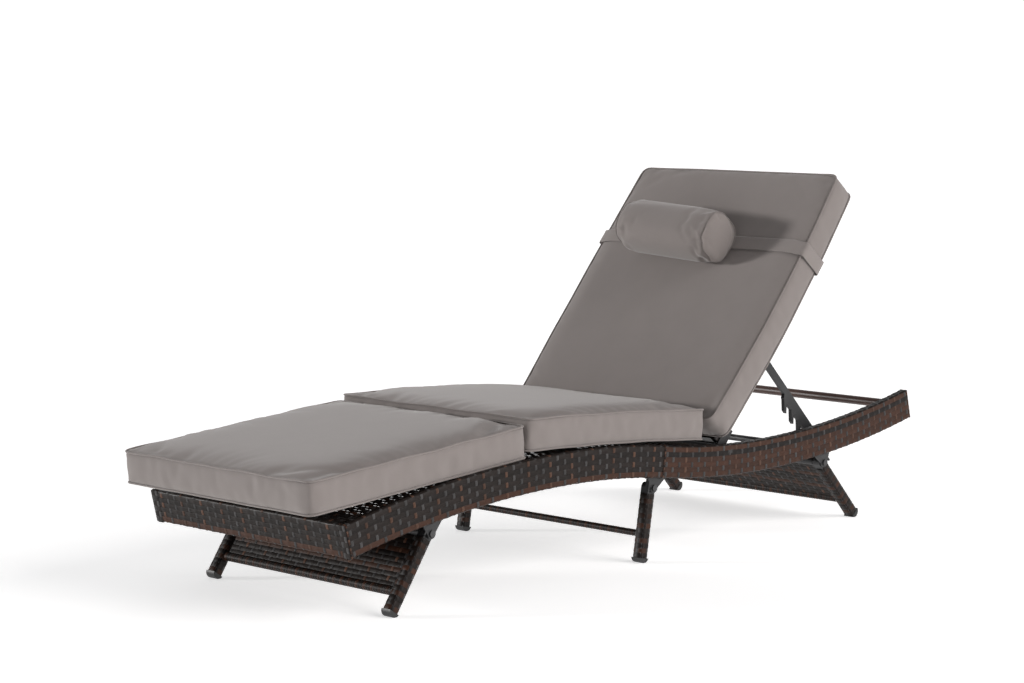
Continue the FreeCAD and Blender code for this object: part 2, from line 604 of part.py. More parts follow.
# ---------------------------------------------------------------- checks and export
doc.recompute()
for item in doc.Objects:
    if {"Invalid", "Error"} & set(item.State):
        raise RuntimeError(f"{item.Name} is in the state {item.State}")
for item in NODES:
    if item.Shape.isNull() or not item.Shape.isValid() or not item.Shape.Solids:
        raise RuntimeError(f"{item.Label} has no valid solid")
    item.Shape.exportStep(f"parts/{item.Label}.step")
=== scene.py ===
import json
import math

import bpy
import numpy as np
from mathutils import Matrix, Vector
from mathutils.bvhtree import BVHTree


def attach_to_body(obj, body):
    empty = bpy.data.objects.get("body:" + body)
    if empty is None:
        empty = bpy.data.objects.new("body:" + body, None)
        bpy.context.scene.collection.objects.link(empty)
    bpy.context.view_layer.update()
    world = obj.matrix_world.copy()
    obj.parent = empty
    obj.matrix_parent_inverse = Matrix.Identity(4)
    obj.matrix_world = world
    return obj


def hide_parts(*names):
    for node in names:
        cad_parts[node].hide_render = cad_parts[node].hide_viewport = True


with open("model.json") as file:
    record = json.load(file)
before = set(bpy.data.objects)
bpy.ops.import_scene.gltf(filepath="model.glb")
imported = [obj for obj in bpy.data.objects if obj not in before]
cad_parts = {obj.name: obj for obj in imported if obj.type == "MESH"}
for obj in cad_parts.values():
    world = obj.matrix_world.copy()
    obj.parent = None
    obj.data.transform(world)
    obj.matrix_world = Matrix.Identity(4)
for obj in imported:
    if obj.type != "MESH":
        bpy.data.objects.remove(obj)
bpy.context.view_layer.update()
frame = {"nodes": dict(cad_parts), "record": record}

# ------------------------------------------------------------------ sizes, in metres, in the frame of the CAD
CREST_X, CREST_Z = -0.281, 0.267
VALLEY_X, VALLEY_Z = 0.429, 0.2155
FOOT_END, HEAD_END = -0.9605, 1.049
FOOT_RADIUS, HEAD_RADIUS = 3.056, 2.935
RAIL_HEIGHT, RAIL_THICK = 0.078, 0.024
HALF_WIDTH = 0.34
SEAM_X = 0.059
DECK_END = 0.249
APRON_THICK = 0.030
WAVE_DROP = CREST_Z - VALLEY_Z
WAVE_RADIUS = ((VALLEY_X - CREST_X) ** 2 + WAVE_DROP ** 2) / (4 * WAVE_DROP)
BACK_ANGLE = math.radians(49.1)
BACK_START, BACK_END, BACK_WIDTH, BACK_LOW, BACK_DEPTH = 0.012, 0.716, 0.600, -0.002, 0.028
LEG_DEPTH, LEG_BREADTH, LEG_PLANE = 0.031, 0.029, 0.308

STRIP_PITCH = 0.012
STRIP_WIDTH = 0.0118
WARP_SPACING = 0.024
WARP_WIDTH = 0.0078
STRIP_LIFT = 0.0008
STRIP_EDGE = 0.0006

INNER_Y = HALF_WIDTH - RAIL_THICK
rng = np.random.default_rng(7)

joints = {joint["name"]: joint for joint in frame["record"]["behaviour"]["joints"]}
BACK_PIVOT = Vector(joints["back_recline"]["pos_m"])


# ------------------------------------------------------------------ shared helpers
def placed(name, data):
    """A new object in the scene."""
    made = bpy.data.objects.new(name, data)
    bpy.context.scene.collection.objects.link(made)
    return made


def attach(piece, body, node):
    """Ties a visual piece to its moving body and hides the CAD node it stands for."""
    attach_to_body(piece, body)
    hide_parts(node)


# ------------------------------------------------------------------ node materials
class Shader:
    """A short way to write a node material."""

    def __init__(self, name):
        self.material = bpy.data.materials.new(name)
        self.material.use_nodes = True
        self.nodes = self.material.node_tree.nodes
        self.links = self.material.node_tree.links
        self.surface = self.nodes["Principled BSDF"]

    def node(self, kind, settings=None, **inputs):
        made = self.nodes.new(f"ShaderNode{kind}")
        for key, value in (settings or {}).items():
            setattr(made, key, value)
        for key, value in inputs.items():
            self.put(made.inputs[key.replace("_", " ")], value)
        return made

    def put(self, socket, value):
        if isinstance(value, bpy.types.NodeSocket):
            self.links.new(value, socket)
        else:
            socket.default_value = value

    def math(self, operation, first, second=0.0):
        made = self.nodes.new("ShaderNodeMath")
        made.operation = operation
        self.put(made.inputs[0], first)
        self.put(made.inputs[1], second)
        return made.outputs[0]

    def mix(self, factor, first, second):
        made = self.nodes.new("ShaderNodeMix")
        made.data_type = "RGBA"
        self.put(made.inputs["Factor"], factor)
        self.put(made.inputs["A"], first)
        self.put(made.inputs["B"], second)
        return made.outputs["Result"]

    def ramp(self, factor, *stops):
        made = self.nodes.new("ShaderNodeValToRGB")
        elements = made.color_ramp.elements
        while len(elements) < len(stops):
            elements.new(0.5)
        for element, (place, colour) in zip(elements, stops):
            element.position = place
            element.color = (*colour, 1)
        self.put(made.inputs["Fac"], factor)
        return made.outputs["Color"]

    def bump(self, height, strength, distance):
        made = self.node("Bump", Strength=strength, Distance=distance, Height=height)
        self.put(self.surface.inputs["Normal"], made.outputs["Normal"])


def linear(red, green, blue):
    """A colour given as 0 to 255 in sRGB."""
    def channel(value):
        value /= 255
        return value / 12.92 if value <= 0.04045 else ((value + 0.055) / 1.055) ** 2.4
    return channel(red), channel(green), channel(blue)


def resin(name, colour, streak, roughness):
    """A flat strip of woven resin: fine ribs along it, streaks, and a shade of its own for each strip."""
    shader = Shader(name)
    uv = shader.node("UVMap").outputs["UV"]
    split = shader.node("SeparateXYZ", Vector=uv)
    along = split.outputs["X"]
    across = shader.math("FRACT", split.outputs["Y"])
    strip = shader.math("FLOOR", split.outputs["Y"])
    own = shader.node("TexWhiteNoise", {"noise_dimensions": "1D"}, W=strip).outputs["Value"]
    place = shader.node("CombineXYZ", X=shader.math("MULTIPLY", along, 9.0),
                        Y=shader.math("MULTIPLY", across, 5.0), Z=shader.math("MULTIPLY", strip, 3.7))
    cloud = shader.node("TexNoise", Vector=place.outputs["Vector"], Scale=3.0, Detail=4.0).outputs["Fac"]
    shade = shader.math("ADD", shader.math("MULTIPLY", cloud, 0.65), shader.math("MULTIPLY", own, 0.35))
    shader.put(shader.surface.inputs["Base Color"],
               shader.ramp(shade, (0.25, colour), (0.75, streak)))
    ribs = shader.math("ABSOLUTE", shader.math("SINE", shader.math("MULTIPLY", across, math.pi * 5)))
    grain = shader.math("MULTIPLY", cloud, 0.6)
    shader.bump(shader.math("ADD", ribs, grain), 0.35, 0.0004)
    shader.put(shader.surface.inputs["Roughness"],
               shader.math("ADD", roughness, shader.math("MULTIPLY", cloud, 0.18)))
    shader.surface.inputs["Specular IOR Level"].default_value = 0.16
    return shader.material


def cloth(name, colour, shade, scale=900.0):
    """Plain woven polyester: a fine over and under weave, faint slubs and a soft sheen."""
    shader = Shader(name)
    place = shader.node("TexCoord").outputs["Object"]
    split = shader.node("SeparateXYZ", Vector=place)
    waves = [shader.math("SINE", shader.math("MULTIPLY", split.outputs[axis], scale * 2)) for axis in "XYZ"]
    weave = shader.math("MULTIPLY", shader.math("ADD", waves[0], waves[2]), waves[1])
    fine = shader.node("TexNoise", Vector=place, Scale=scale, Detail=2.0).outputs["Fac"]
    slub = shader.node("TexNoise", Vector=place, Scale=14.0, Detail=5.0, Roughness=0.6).outputs["Fac"]
    mottle = shader.math("ADD", shader.math("MULTIPLY", fine, 0.4), shader.math("MULTIPLY", slub, 0.6))
    shader.put(shader.surface.inputs["Base Color"], shader.ramp(mottle, (0.35, colour), (0.7, shade)))
    height = shader.math("ADD", shader.math("MULTIPLY", weave, 0.25), shader.math("MULTIPLY", fine, 0.6))
    shader.bump(height, 0.25, 0.0004)
    shader.surface.inputs["Roughness"].default_value = 0.88
    shader.surface.inputs["Sheen Weight"].default_value = 0.25
    shader.surface.inputs["Sheen Roughness"].default_value = 0.5
    shader.surface.inputs["Specular IOR Level"].default_value = 0.25
    return shader.material


def coated_steel(name, colour, wear):
    """Powder coated steel: a fine orange peel, and slightly paler where it is rubbed."""
    shader = Shader(name)
    place = shader.node("TexCoord").outputs["Object"]
    rub = shader.node("TexNoise", Vector=place, Scale=18.0, Detail=6.0).outputs["Fac"]
    peel = shader.node("TexNoise", Vector=place, Scale=900.0, Detail=1.0).outputs["Fac"]
    shader.put(shader.surface.inputs["Base Color"], shader.ramp(rub, (0.4, colour), (0.8, wear)))
    shader.bump(peel, 0.2, 0.0002)
    shader.put(shader.surface.inputs["Roughness"],
               shader.math("ADD", 0.32, shader.math("MULTIPLY", rub, 0.2)))
    return shader.material


def bare_steel(name):
    """Black zinc plated fasteners, lightly brushed."""
    shader = Shader(name)
    place = shader.node("TexCoord").outputs["Object"]
    brushed = shader.node("Mapping", Vector=place, Scale=(900.0, 60.0, 900.0)).outputs["Vector"]
    lines = shader.node("TexNoise", Vector=brushed, Scale=1.0, Detail=3.0).outputs["Fac"]
    shader.put(shader.surface.inputs["Base Color"],
               shader.ramp(lines, (0.3, (0.06, 0.06, 0.065)), (0.7, (0.12, 0.12, 0.12))))
    shader.surface.inputs["Metallic"].default_value = 1.0
    shader.put(shader.surface.inputs["Roughness"],
               shader.math("ADD", 0.25, shader.math("MULTIPLY", lines, 0.2)))
    return shader.material


def moulded(name, colour, pale):
    """Black moulded plastic with a fine spark texture and scuffs."""
    shader = Shader(name)
    place = shader.node("TexCoord").outputs["Object"]
    scuff = shader.node("TexNoise", Vector=place, Scale=60.0, Detail=5.0).outputs["Fac"]
    spark = shader.node("TexNoise", Vector=place, Scale=1500.0, Detail=1.0).outputs["Fac"]
    shader.put(shader.surface.inputs["Base Color"], shader.ramp(scuff, (0.45, colour), (0.8, pale)))
    shader.bump(spark, 0.3, 0.0002)
    shader.surface.inputs["Roughness"].default_value = 0.5
    return shader.material


WEFT_DARK = resin("weft_espresso", linear(18, 14, 12), linear(34, 27, 24), 0.34)
WEFT_BROWN = resin("weft_brown", linear(34, 21, 15), linear(66, 41, 29), 0.36)
WARP_GREY = resin("warp_grey", linear(44, 43, 43), linear(72, 70, 70), 0.32)
WARP_BROWN = resin("warp_brown", linear(58, 40, 31), linear(92, 66, 53), 0.36)
STRIPS = (WEFT_DARK, WEFT_BROWN, WARP_GREY, WARP_BROWN)
DARK, BROWN, GREY, TAN = range(4)
FABRIC = cloth("taupe_polyester", linear(127, 120, 117), linear(131, 124, 121))
PIPING = cloth("taupe_piping", linear(125, 118, 115), linear(130, 123, 120))
BAND = cloth("taupe_band", linear(130, 123, 120), linear(136, 129, 126))
BLACK_STEEL = coated_steel("black_powder_coat", (0.010, 0.010, 0.011), (0.030, 0.030, 0.032))
BROWN_STEEL = coated_steel("brown_powder_coat", linear(62, 42, 36), linear(88, 64, 56))
BLACK_PLASTIC = moulded("black_moulding", (0.008, 0.008, 0.008), (0.020, 0.020, 0.020))
FASTENER = bare_steel("black_zinc_plate")


# ------------------------------------------------------------------ paths and sections
class Line:
    """A polyline sampled by length, with a normal at each point."""

    def __init__(self, points, normals, closed=False):
        points = np.asarray(points, float)
        normals = np.asarray(normals, float)
        if closed:
            points = np.vstack([points, points[:1]])
            normals = np.vstack([normals, normals[:1]])
        steps = np.linalg.norm(np.diff(points, axis=0), axis=1)
        self.at = np.concatenate([[0], np.cumsum(steps)])
        self.length = self.at[-1]
        self.points = points
        self.normals = normals
        self.closed = closed

    def sample(self, where):
        where = np.asarray(where, float)
        if self.closed:
            where = np.mod(where, self.length)
        point = np.stack([np.interp(where, self.at, column) for column in self.points.T], -1)
        normal = np.stack([np.interp(where, self.at, column) for column in self.normals.T], -1)
        return point, normal / np.linalg.norm(normal, axis=-1, keepdims=True)


def rounded_section(width, height, radius, steps=6):
    """A closed outline in (side, up), from the middle of the +side face upwards, as a Line."""
    points = [(width / 2, 0.0)]
    normals = [(1.0, 0.0)]
    for number, (side, up) in enumerate(((1, 1), (-1, 1), (-1, -1), (1, -1))):
        for step in range(steps + 1):
            angle = math.pi / 2 * (number + step / steps)
            out = (math.cos(angle), math.sin(angle))
            points.append((side * (width / 2 - radius) + radius * out[0],
                           up * (height / 2 - radius) + radius * out[1]))
            normals.append(out)
    return Line(points, normals, closed=True)


def rail_line(start, end):
    """The rail's centre line between two places along the lounger, as (x, z) with its upward normal."""
    middle = (CREST_X + VALLEY_X) / 2
    points = []
    normals = []
    for x in np.linspace(start, end, 400):
        if x <= CREST_X:
            radius, centre_x, top, bulge = FOOT_RADIUS, CREST_X, CREST_Z, 1
        elif x <= middle:
            radius, centre_x, top, bulge = WAVE_RADIUS, CREST_X, CREST_Z, 1
        else:
            radius = WAVE_RADIUS if x <= VALLEY_X else HEAD_RADIUS
            centre_x, top, bulge = VALLEY_X, VALLEY_Z, -1
        reach = (x - centre_x) / radius
        rise = math.sqrt(1 - reach * reach)
        points.append((x, top - bulge * radius * (1 - rise)))
        normals.append((bulge * reach, rise))
    return Line(points, normals)


def swept(path, section, side_y):
    """A surface (along, around) for a section carried along a path in the XZ plane, centred at y = side_y."""
    def surface(along, around):
        centre, up = path.sample(along)
        out, normal = section.sample(around)
        place = np.stack([centre[..., 0] + up[..., 0] * out[..., 1], side_y + out[..., 0],
                          centre[..., 1] + up[..., 1] * out[..., 1]], -1)
        face = np.stack([up[..., 0] * normal[..., 1], normal[..., 0], up[..., 1] * normal[..., 1]], -1)
        return place, face
    return surface


def swapped(surface):
    return lambda first, second: surface(second, first)


# ------------------------------------------------------------------ weaving
def pulse(distance, width):
    """1 at a crossing, 0 away from it, with a smooth fall."""
    near = np.clip(np.abs(distance) / width, 0, 1)
    return 0.5 + 0.5 * np.cos(math.pi * near)


class Weave:
    """Gathers the strips of one woven piece into one mesh."""

    def __init__(self, surface):
        self.surface = surface
        self.points = []
        self.faces = []
        self.uvs = []
        self.indices = []
        self.count = 0
        self.strips = 0

    def strip(self, along, centre, width, height, colour, swap, closed, columns=3):
        """One strip: along are its sample places, height its lift at each of them."""
        across = np.linspace(-0.5, 0.5, columns + 1)
        drop = np.where(np.abs(across) > 0.45, STRIP_EDGE, 0.0)
        first, second = np.meshgrid(along, centre + across * width, indexing="ij")
        place, normal = self.surface(second, first) if swap else self.surface(first, second)
        lift = height[:, None] - drop[None, :]
        place = place + normal * lift[..., None]
        rows = len(along)
        numbers = self.count + np.arange(rows * (columns + 1)).reshape(rows, columns + 1)
        step = along[1] - along[0]
        quads = np.stack([numbers[:-1, :-1], numbers[1:, :-1], numbers[1:, 1:], numbers[:-1, 1:]], -1)
        if swap:
            quads = quads[..., ::-1]
        lengths = np.arange(rows) * step
        u, v = np.meshgrid(lengths, (across + 0.5) * 0.999, indexing="ij")
        uv = np.stack([u, v + self.strips], -1).reshape(-1, 2)
        quads = quads.reshape(-1, 4)
        self.points.append(place.reshape(-1, 3))
        self.faces.append(quads)
        self.uvs.append(uv[quads.reshape(-1) - self.count])
        self.indices.append(np.full(len(quads), colour))
        self.count += rows * (columns + 1)
        self.strips += 1

    def build(self, name):
        points = np.concatenate(self.points)
        faces = np.concatenate(self.faces)
        mesh = bpy.data.meshes.new(name)
        mesh.vertices.add(len(points))
        mesh.vertices.foreach_set("co", points.ravel())
        mesh.loops.add(faces.size)
        mesh.loops.foreach_set("vertex_index", faces.ravel())
        mesh.polygons.add(len(faces))
        mesh.polygons.foreach_set("loop_start", np.arange(0, faces.size, 4))
        mesh.polygons.foreach_set("loop_total", np.full(len(faces), 4))
        for material in STRIPS:
            mesh.materials.append(material)
        mesh.polygons.foreach_set("material_index", np.concatenate(self.indices))
        mesh.polygons.foreach_set("use_smooth", np.ones(len(faces), bool))
        layer = mesh.uv_layers.new(name="UVMap")
        layer.data.foreach_set("uv", np.concatenate(self.uvs).ravel())
        mesh.update()
        mesh.validate()
        made = placed(name, mesh)
        return made


def weave(name, surface, weft_length, warp_length, weft_colour, warp_colour, weft_closed=False,
          warp_closed=False, spacing=WARP_SPACING, pitch=STRIP_PITCH, warp_width=WARP_WIDTH,
          weft_step=0.004, warp_step=0.003, columns=3):
    """Weft strips run along the surface's first direction, warp strips cross them over one and under one."""
    cloth_piece = Weave(surface)
    rows = max(1, round(warp_length / pitch))
    if warp_closed:
        rows += rows % 2
    pitch = warp_length / rows
    warps = max(1, round(weft_length / spacing))
    if weft_closed:
        warps += warps % 2
    spacing = weft_length / warps
    width = STRIP_WIDTH * pitch / STRIP_PITCH
    along = np.linspace(0, weft_length, max(3, round(weft_length / weft_step) + 1))
    nearest = np.clip(np.floor(along / spacing), 0, warps - 1)
    offset = along - (nearest + 0.5) * spacing
    for row in range(rows):
        over = np.where((nearest + row) % 2 == 0, 1.0, -1.0)
        height = STRIP_LIFT * over * pulse(offset, spacing * 0.42)
        cloth_piece.strip(along, (row + 0.5) * pitch, width, height, weft_colour(row, rows), False,
                          weft_closed, columns)
    across = np.linspace(0, warp_length, max(3, round(warp_length / warp_step) + 1))
    row_of = np.clip(np.floor(across / pitch), 0, rows - 1)
    inside = across - (row_of + 0.5) * pitch
    for warp in range(warps):
        over = np.where((warp + row_of) % 2 == 1, 1.0, -1.0)
        height = STRIP_LIFT * over * pulse(inside, pitch * 0.55)
        cloth_piece.strip(across, (warp + 0.5) * spacing, warp_width, height, warp_colour(warp, warps), True,
                          warp_closed, columns)
    return cloth_piece.build(name)


def always(colour):
    return lambda number, count: colour


def cycle(*colours):
    return lambda number, count: colours[number % len(colours)]


# ------------------------------------------------------------------ woven pieces
def front_rows(row, rows):
    """Rows of a front rail sleeve, counted up from the middle of its outer face."""
    return BROWN if row in (rows - 3, rows - 4) else DARK


def rear_rows(row, rows):
    return DARK if row in (1, 3, 4, 7, 9) else BROWN


def binding(name, surface, at, girth, width):
    """A lashed ring: short slanted strips laid side by side round a woven sleeve."""
    lashing = Weave(surface)
    count = round(girth / 0.0065)
    for number in range(count):
        along = np.linspace(number, number + 0.93, 5) * girth / count
        height = 0.0012 + 0.0010 * np.sin(np.linspace(0, math.pi, 5))
        lashing.strip(along, at, width, height, (TAN, DARK, BROWN)[number % 3], True, False)
    made = lashing.build(name)
    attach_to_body(made, "frame")


rail_section = rounded_section(RAIL_THICK, RAIL_HEIGHT, 0.005)
for side, sign in (("left", 1), ("right", -1)):
    for part, start, end, rows, warps in (
            ("front", FOOT_END, SEAM_X, front_rows, cycle(GREY, GREY, TAN)),
            ("rear", SEAM_X, HEAD_END, rear_rows, cycle(GREY, GREY, GREY, TAN))):
        path = rail_line(start, end)
        around = swept(path, rail_section, 0.0)

        def one_side(first, second, around=around, sign=sign):
            place, normal = around(first, second)
            flip = np.array([1.0, sign, 1.0])
            return place * flip + np.array([0, sign * (HALF_WIDTH - RAIL_THICK / 2), 0]), normal * flip

        piece = weave(f"{side}_{part}_rail_weave", one_side, path.length, rail_section.length, rows, warps,
                      warp_closed=True)
        attach(piece, "frame", f"{side}_{part}_rail_wicker")
        binding(f"{side}_{part}_rail_binding", one_side, 0.003, rail_section.length, 0.005)

# deck: strips across the frame, on the rails' curve
deck_path = rail_line(FOOT_END + APRON_THICK, DECK_END)


def deck_surface(first, second):
    centre, up = deck_path.sample(second)
    lift = RAIL_HEIGHT / 2 - 0.003
    place = np.stack([centre[..., 0] + up[..., 0] * lift, first - INNER_Y,
                      centre[..., 1] + up[..., 1] * lift], -1)
    normal = np.stack([up[..., 0], np.zeros_like(first), up[..., 1]], -1)
    return place, normal


deck = weave("seat_deck_weave", deck_surface, 2 * INNER_Y, deck_path.length, cycle(DARK, DARK, DARK, BROWN),
             cycle(GREY, GREY, TAN), weft_step=0.006)
attach(deck, "frame", "seat_deck_wicker")


def end_frame(x):
    """The rail's centre, up and forward directions where it ends, as 3-D vectors."""
    path = rail_line(x - 0.001, x + 0.001)
    centre, up = path.sample(0.001)
    return Vector((centre[0], 0, centre[1])), Vector((up[0], 0, up[1])), Vector((up[1], 0, -up[0]))


foot_centre, foot_up, foot_forward = end_frame(FOOT_END)


def apron_surface(width, thick, centre):
    """A closed sleeve that runs across the foot end: along is +Y, around its section."""
    section = rounded_section(thick, RAIL_HEIGHT, 0.004)

    def surface(first, second):
        out, normal = section.sample(second)
        side = -np.array(foot_forward)
        up = np.array(foot_up)
        place = (np.array(centre) + out[..., :1] * side + out[..., 1:] * up
                 + (first[..., None] - width / 2) * np.array([0.0, 1.0, 0.0]))
        return place, normal[..., :1] * side + normal[..., 1:] * up
    return surface, section.length


apron_centre = foot_centre + foot_forward * APRON_THICK / 2
apron_shape, apron_girth = apron_surface(2 * INNER_Y, APRON_THICK, apron_centre)
apron = weave("foot_apron_weave", apron_shape, 2 * INNER_Y, apron_girth,
              lambda row, rows: BROWN if row in (rows - 3, rows - 4) else DARK, cycle(GREY, TAN, GREY),
              warp_closed=True)
attach(apron, "frame", "foot_apron_wicker")


def end_patch(name, centre, up, out, width, y_middle, slot):
    """A small woven face that closes the end of a rail."""
    def surface(first, second):
        place = (np.array(centre) + np.array(out) * 0.0002
                 + (second[..., None] - RAIL_HEIGHT / 2) * np.array(up)
                 + (first[..., None] - width / 2 + y_middle) * np.array([0.0, 1.0, 0.0]))
        return place, np.broadcast_to(np.array(out), place.shape)

    colours = always(DARK) if slot == "dark_wicker" else cycle(BROWN, BROWN, DARK)
    patch = weave(name, surface, width, RAIL_HEIGHT, colours, always(GREY), spacing=width / 2)
    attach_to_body(patch, "frame")


head_centre, head_up, head_forward = end_frame(HEAD_END)
for side, sign in (("left", 1), ("right", -1)):
    middle = sign * (HALF_WIDTH - RAIL_THICK / 2)
    end_patch(f"{side}_foot_end_weave", foot_centre, foot_up, -foot_forward, RAIL_THICK, middle,
              "dark_wicker")
    end_patch(f"{side}_head_end_weave", head_centre, head_up, head_forward, RAIL_THICK, middle,
              "brown_wicker")


# ------------------------------------------------------------------ legs
def straight(start, end):
    """A straight path in the XZ plane with its normal to the left of travel."""
    direction = (Vector(end) - Vector(start)).normalized()
    normal = (-direction.y, direction.x)
    return Line([start, end], [normal, normal])


LEGS = (("front", "front_leg_fold", -0.810, 0.148), ("mid", "mid_leg_fold", 0.008, 0.114),
        ("rear", "rear_leg_fold", 0.837, 0.150))
leg_section = rounded_section(LEG_BREADTH - 2 * STRIP_LIFT, LEG_DEPTH - 2 * STRIP_LIFT, 0.007)
SLEEVE_START = LEG_DEPTH / 2
CAP_LENGTH = 0.012
BAR_RADIUS = {"front": 0.0105, "mid": 0.008, "rear": 0.0105}


def wrapped_bar(name, centre, radius, width, body, colours, replaced):
    """A tube across the lounger, wound with flat strips side by side."""
    turn = 2 * math.pi * radius
    angles = np.linspace(0, 2 * math.pi, 60)
    outwards = np.stack([np.cos(angles), np.sin(angles)], -1)
    ring = Line(outwards * radius, outwards)

    def surface(first, second):
        out, normal = ring.sample(np.mod(first, ring.length))
        place = np.stack([centre[0] + out[..., 0], second + first / turn * 0.004,
                          centre[1] + out[..., 1]], -1)
        return place, np.stack([normal[..., 0], np.zeros_like(first), normal[..., 1]], -1)

    winding = Weave(surface)
    count = round(width / 0.0086)
    pitch = (width - 0.004) / count
    along = np.linspace(0, ring.length, 25)
    for number in range(count):
        winding.strip(along, -width / 2 + (number + 0.5) * pitch, pitch * 0.96, np.full(25, 0.0003),
                      colours(number, count), False, False)
    bar = winding.build(name)
    attach(bar, body, replaced)


def leg_set(name, joint_name, foot_x, bar_at):
    hinge = Vector((joints[joint_name]["pos_m"][0], joints[joint_name]["pos_m"][2]))
    foot = Vector((foot_x, LEG_DEPTH / 2 - 0.0006))
    length = (foot - hinge).length
    direction = (foot - hinge).normalized()
    body = f"{name}_leg"
    start = hinge + direction * SLEEVE_START
    end = hinge + direction * (length - CAP_LENGTH + LEG_DEPTH / 2)
    path = straight(start, end)
    for side, sign in (("left", 1), ("right", -1)):
        sleeve = swapped(swept(path, leg_section, sign * LEG_PLANE))
        piece = weave(f"{side}_{name}_leg_weave", sleeve, leg_section.length, path.length,
                      cycle(DARK, BROWN, DARK, DARK, BROWN), cycle(GREY, DARK), weft_closed=True,
                      spacing=0.0165, warp_width=0.0068, pitch=0.0118)
        attach(piece, body, f"{side}_{name}_leg_wicker")
    inner = LEG_PLANE - LEG_BREADTH / 2
    bar = hinge + direction * bar_at
    wrapped_bar(f"{name}_leg_bar_winding", bar, BAR_RADIUS[name], 2 * inner, body, cycle(DARK, BROWN, DARK),
                f"{name}_leg_crossbar")
    if name == "mid":
        return
    panel_path = straight(hinge + direction * 0.011, hinge + direction * (bar_at - BAR_RADIUS[name] * 0.8))
    panel_section = rounded_section(2 * inner, 0.008, 0.0035)
    panel_shape = swapped(swept(panel_path, panel_section, 0.0))
    panel = weave(f"{name}_leg_panel_weave", panel_shape, panel_section.length, panel_path.length,
                  cycle(DARK, DARK, DARK, BROWN), cycle(GREY, GREY, TAN), weft_closed=True)
    attach(panel, body, f"{name}_leg_panel")


for leg in LEGS:
    leg_set(*leg)

# ------------------------------------------------------------------ backrest weave
back_up = Vector((math.cos(BACK_ANGLE), 0, math.sin(BACK_ANGLE)))
back_out = Vector((-back_up.z, 0, back_up.x))
BACK_MATRIX = Matrix.Translation(BACK_PIVOT) @ Matrix((
    (back_up.x, 0, back_out.x, 0), (0, 1, 0, 0), (back_up.z, 0, back_out.z, 0), (0, 0, 0, 1)))
back_middle = BACK_LOW + BACK_DEPTH / 2


def back_point(along, out):
    place = BACK_MATRIX @ Vector((along, 0, out))
    return place.x, place.z


back_path = straight(back_point(BACK_START, back_middle), back_point(BACK_END, back_middle))
back_section = rounded_section(BACK_WIDTH, BACK_DEPTH - 0.001, 0.006)
back_shape = swapped(swept(back_path, back_section, 0.0))
back = weave("back_weave", back_shape, back_section.length, back_path.length, cycle(DARK, DARK, BROWN),
             cycle(GREY, GREY, TAN), weft_closed=True, weft_step=0.006, columns=2)
attach(back, "backrest", "back_wicker")


# ------------------------------------------------------------------ cushions
CUSHION_CELL, CUSHION_LAYERS = 0.0125, 6
PIPING_RADIUS = 0.0024


def cage(length, width, height, cell, layers, corner):
    """A box of quads with rounded upright corners.

    Returns its points, faces, the layer of each point, and the loops of point numbers round each layer."""
    across_x = round(length / cell)
    across_y = round(width / cell)
    points = []
    layer_of = []
    lookup = {}
    for k in range(layers + 1):
        for i in range(across_x + 1):
            for j in range(across_y + 1):
                if not (i in (0, across_x) or j in (0, across_y) or k in (0, layers)):
                    continue
                x = (i / across_x - 0.5) * length
                y = (j / across_y - 0.5) * width
                corner_x = abs(x) - (length / 2 - corner)
                corner_y = abs(y) - (width / 2 - corner)
                if corner_x > 0 and corner_y > 0:
                    shrink = max(corner_x, corner_y) / math.hypot(corner_x, corner_y)
                    x = math.copysign(length / 2 - corner + corner_x * shrink, x)
                    y = math.copysign(width / 2 - corner + corner_y * shrink, y)
                lookup[i, j, k] = len(points)
                points.append((x, y, (k / layers - 0.5) * height))
                layer_of.append(k)
    faces = []
    for i in range(across_x):
        for j in range(across_y):
            quad = [(i, j), (i + 1, j), (i + 1, j + 1), (i, j + 1)]
            faces.append([lookup[a, b, layers] for a, b in quad])
            faces.append([lookup[a, b, 0] for a, b in reversed(quad)])
    around = ([(i, 0) for i in range(across_x)] + [(across_x, j) for j in range(across_y)]
              + [(i, across_y) for i in range(across_x, 0, -1)] + [(0, j) for j in range(across_y, 0, -1)])
    for k in range(layers):
        for (a, b), (c, d) in zip(around, around[1:] + around[:1]):
            faces.append([lookup[a, b, k], lookup[c, d, k], lookup[c, d, k + 1], lookup[a, b, k + 1]])
    loops = [[lookup[a, b, k] for a, b in around] for k in range(layers + 1)]
    return np.array(points), faces, np.array(layer_of), loops


def outward(points):
    """The sideways direction away from a loop of points, at each of them."""
    tangent = np.roll(points, -1, axis=0) - np.roll(points, 1, axis=0)
    away = np.stack([tangent[:, 1], -tangent[:, 0], np.zeros(len(points))], -1)
    return away / np.linalg.norm(away, axis=1, keepdims=True)


def wobble(count, size, waves):
    """A smooth closed curve of small offsets."""
    phase = np.linspace(0, 2 * math.pi, count, endpoint=False)
    total = np.zeros(count)
    for wave in waves:
        total += rng.normal() * np.sin(wave * phase + rng.uniform(0, 2 * math.pi)) / math.sqrt(len(waves))
    return size * total


